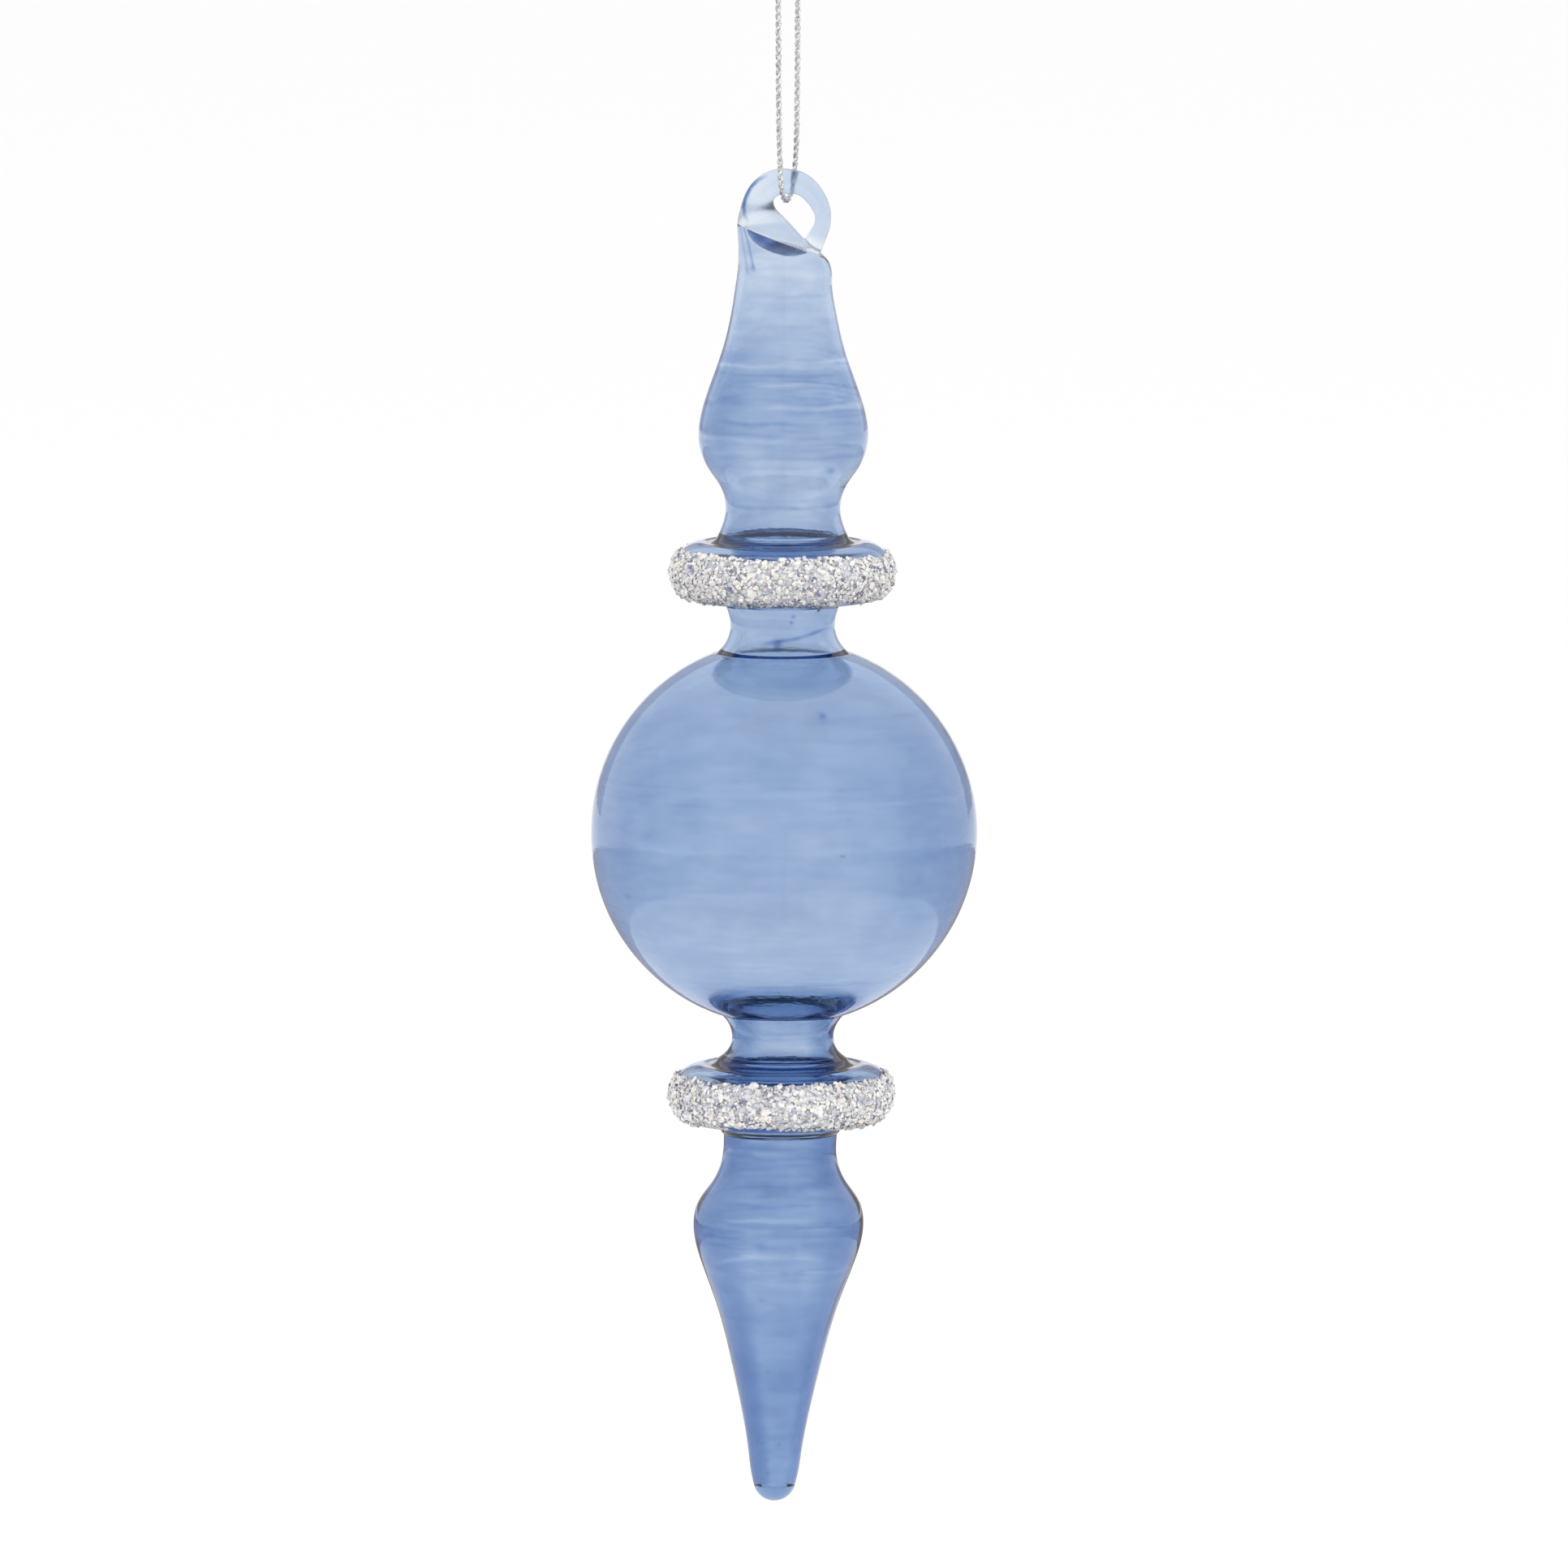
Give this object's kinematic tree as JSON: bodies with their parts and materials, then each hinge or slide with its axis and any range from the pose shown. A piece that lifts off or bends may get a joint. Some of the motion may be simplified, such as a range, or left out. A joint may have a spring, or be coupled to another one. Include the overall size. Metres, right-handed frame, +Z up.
{
  "type": "icicle hanging ornament",
  "caption": "Blown-glass icicle ornament: curled eye, teardrop, glitter-rimmed discs, a globe and a tapered drop, hung on a tied metallic cord loop.",
  "frame": {"origin": "the hanging point, where the cord loop rests on a hook, right under the knot", "axes": "+Z up along the hanging cord, +X to the right as seen from the front, -Y towards the viewer; the hole of the glass eye runs along Y"},
  "size_m": [0.0578, 0.0578, 0.2712],
  "materials": {
    "blue_glass": "thin see-through pale blue blown glass with faint drawn streaks",
    "solid_glass": "solid flame-worked pale blue glass, polished by the flame",
    "clear_glue": "dried clear adhesive, slightly milky",
    "silver_glitter": "coarse silver glitter grains, some white, some dark by reflection",
    "silver_cord": "metallic silver twisted cord"
  },
  "bodies": {
    "knot": {"cord_knot": "silver_cord", "cord_tail_long": "silver_cord", "cord_tail_short": "silver_cord"},
    "cord": {"hanging_cord": "silver_cord"},
    "ornament": {"upper_drop": "blue_glass", "upper_disc": "blue_glass", "upper_neck": "blue_glass", "globe": "blue_glass", "lower_neck": "blue_glass", "lower_disc": "blue_glass", "icicle_drop": "blue_glass", "hanger_ring": "solid_glass", "tip_bead": "solid_glass", "upper_glue_band": "clear_glue", "lower_glue_band": "clear_glue", "upper_glitter_band": "silver_glitter", "lower_glitter_band": "silver_glitter"}
  },
  "joints": [
    {"name": "cord_twist", "type": "hinge", "parent": "knot", "child": "cord", "pos_m": [0, 0, 0], "axis": [0, 0, 1], "range_deg": [-180, 180]},
    {"name": "eye_swing", "type": "hinge", "parent": "cord", "child": "ornament", "pos_m": [-0.0008, 0, -0.0579], "axis": [1, 0, 0], "range_deg": [-40, 40]}
  ]
}
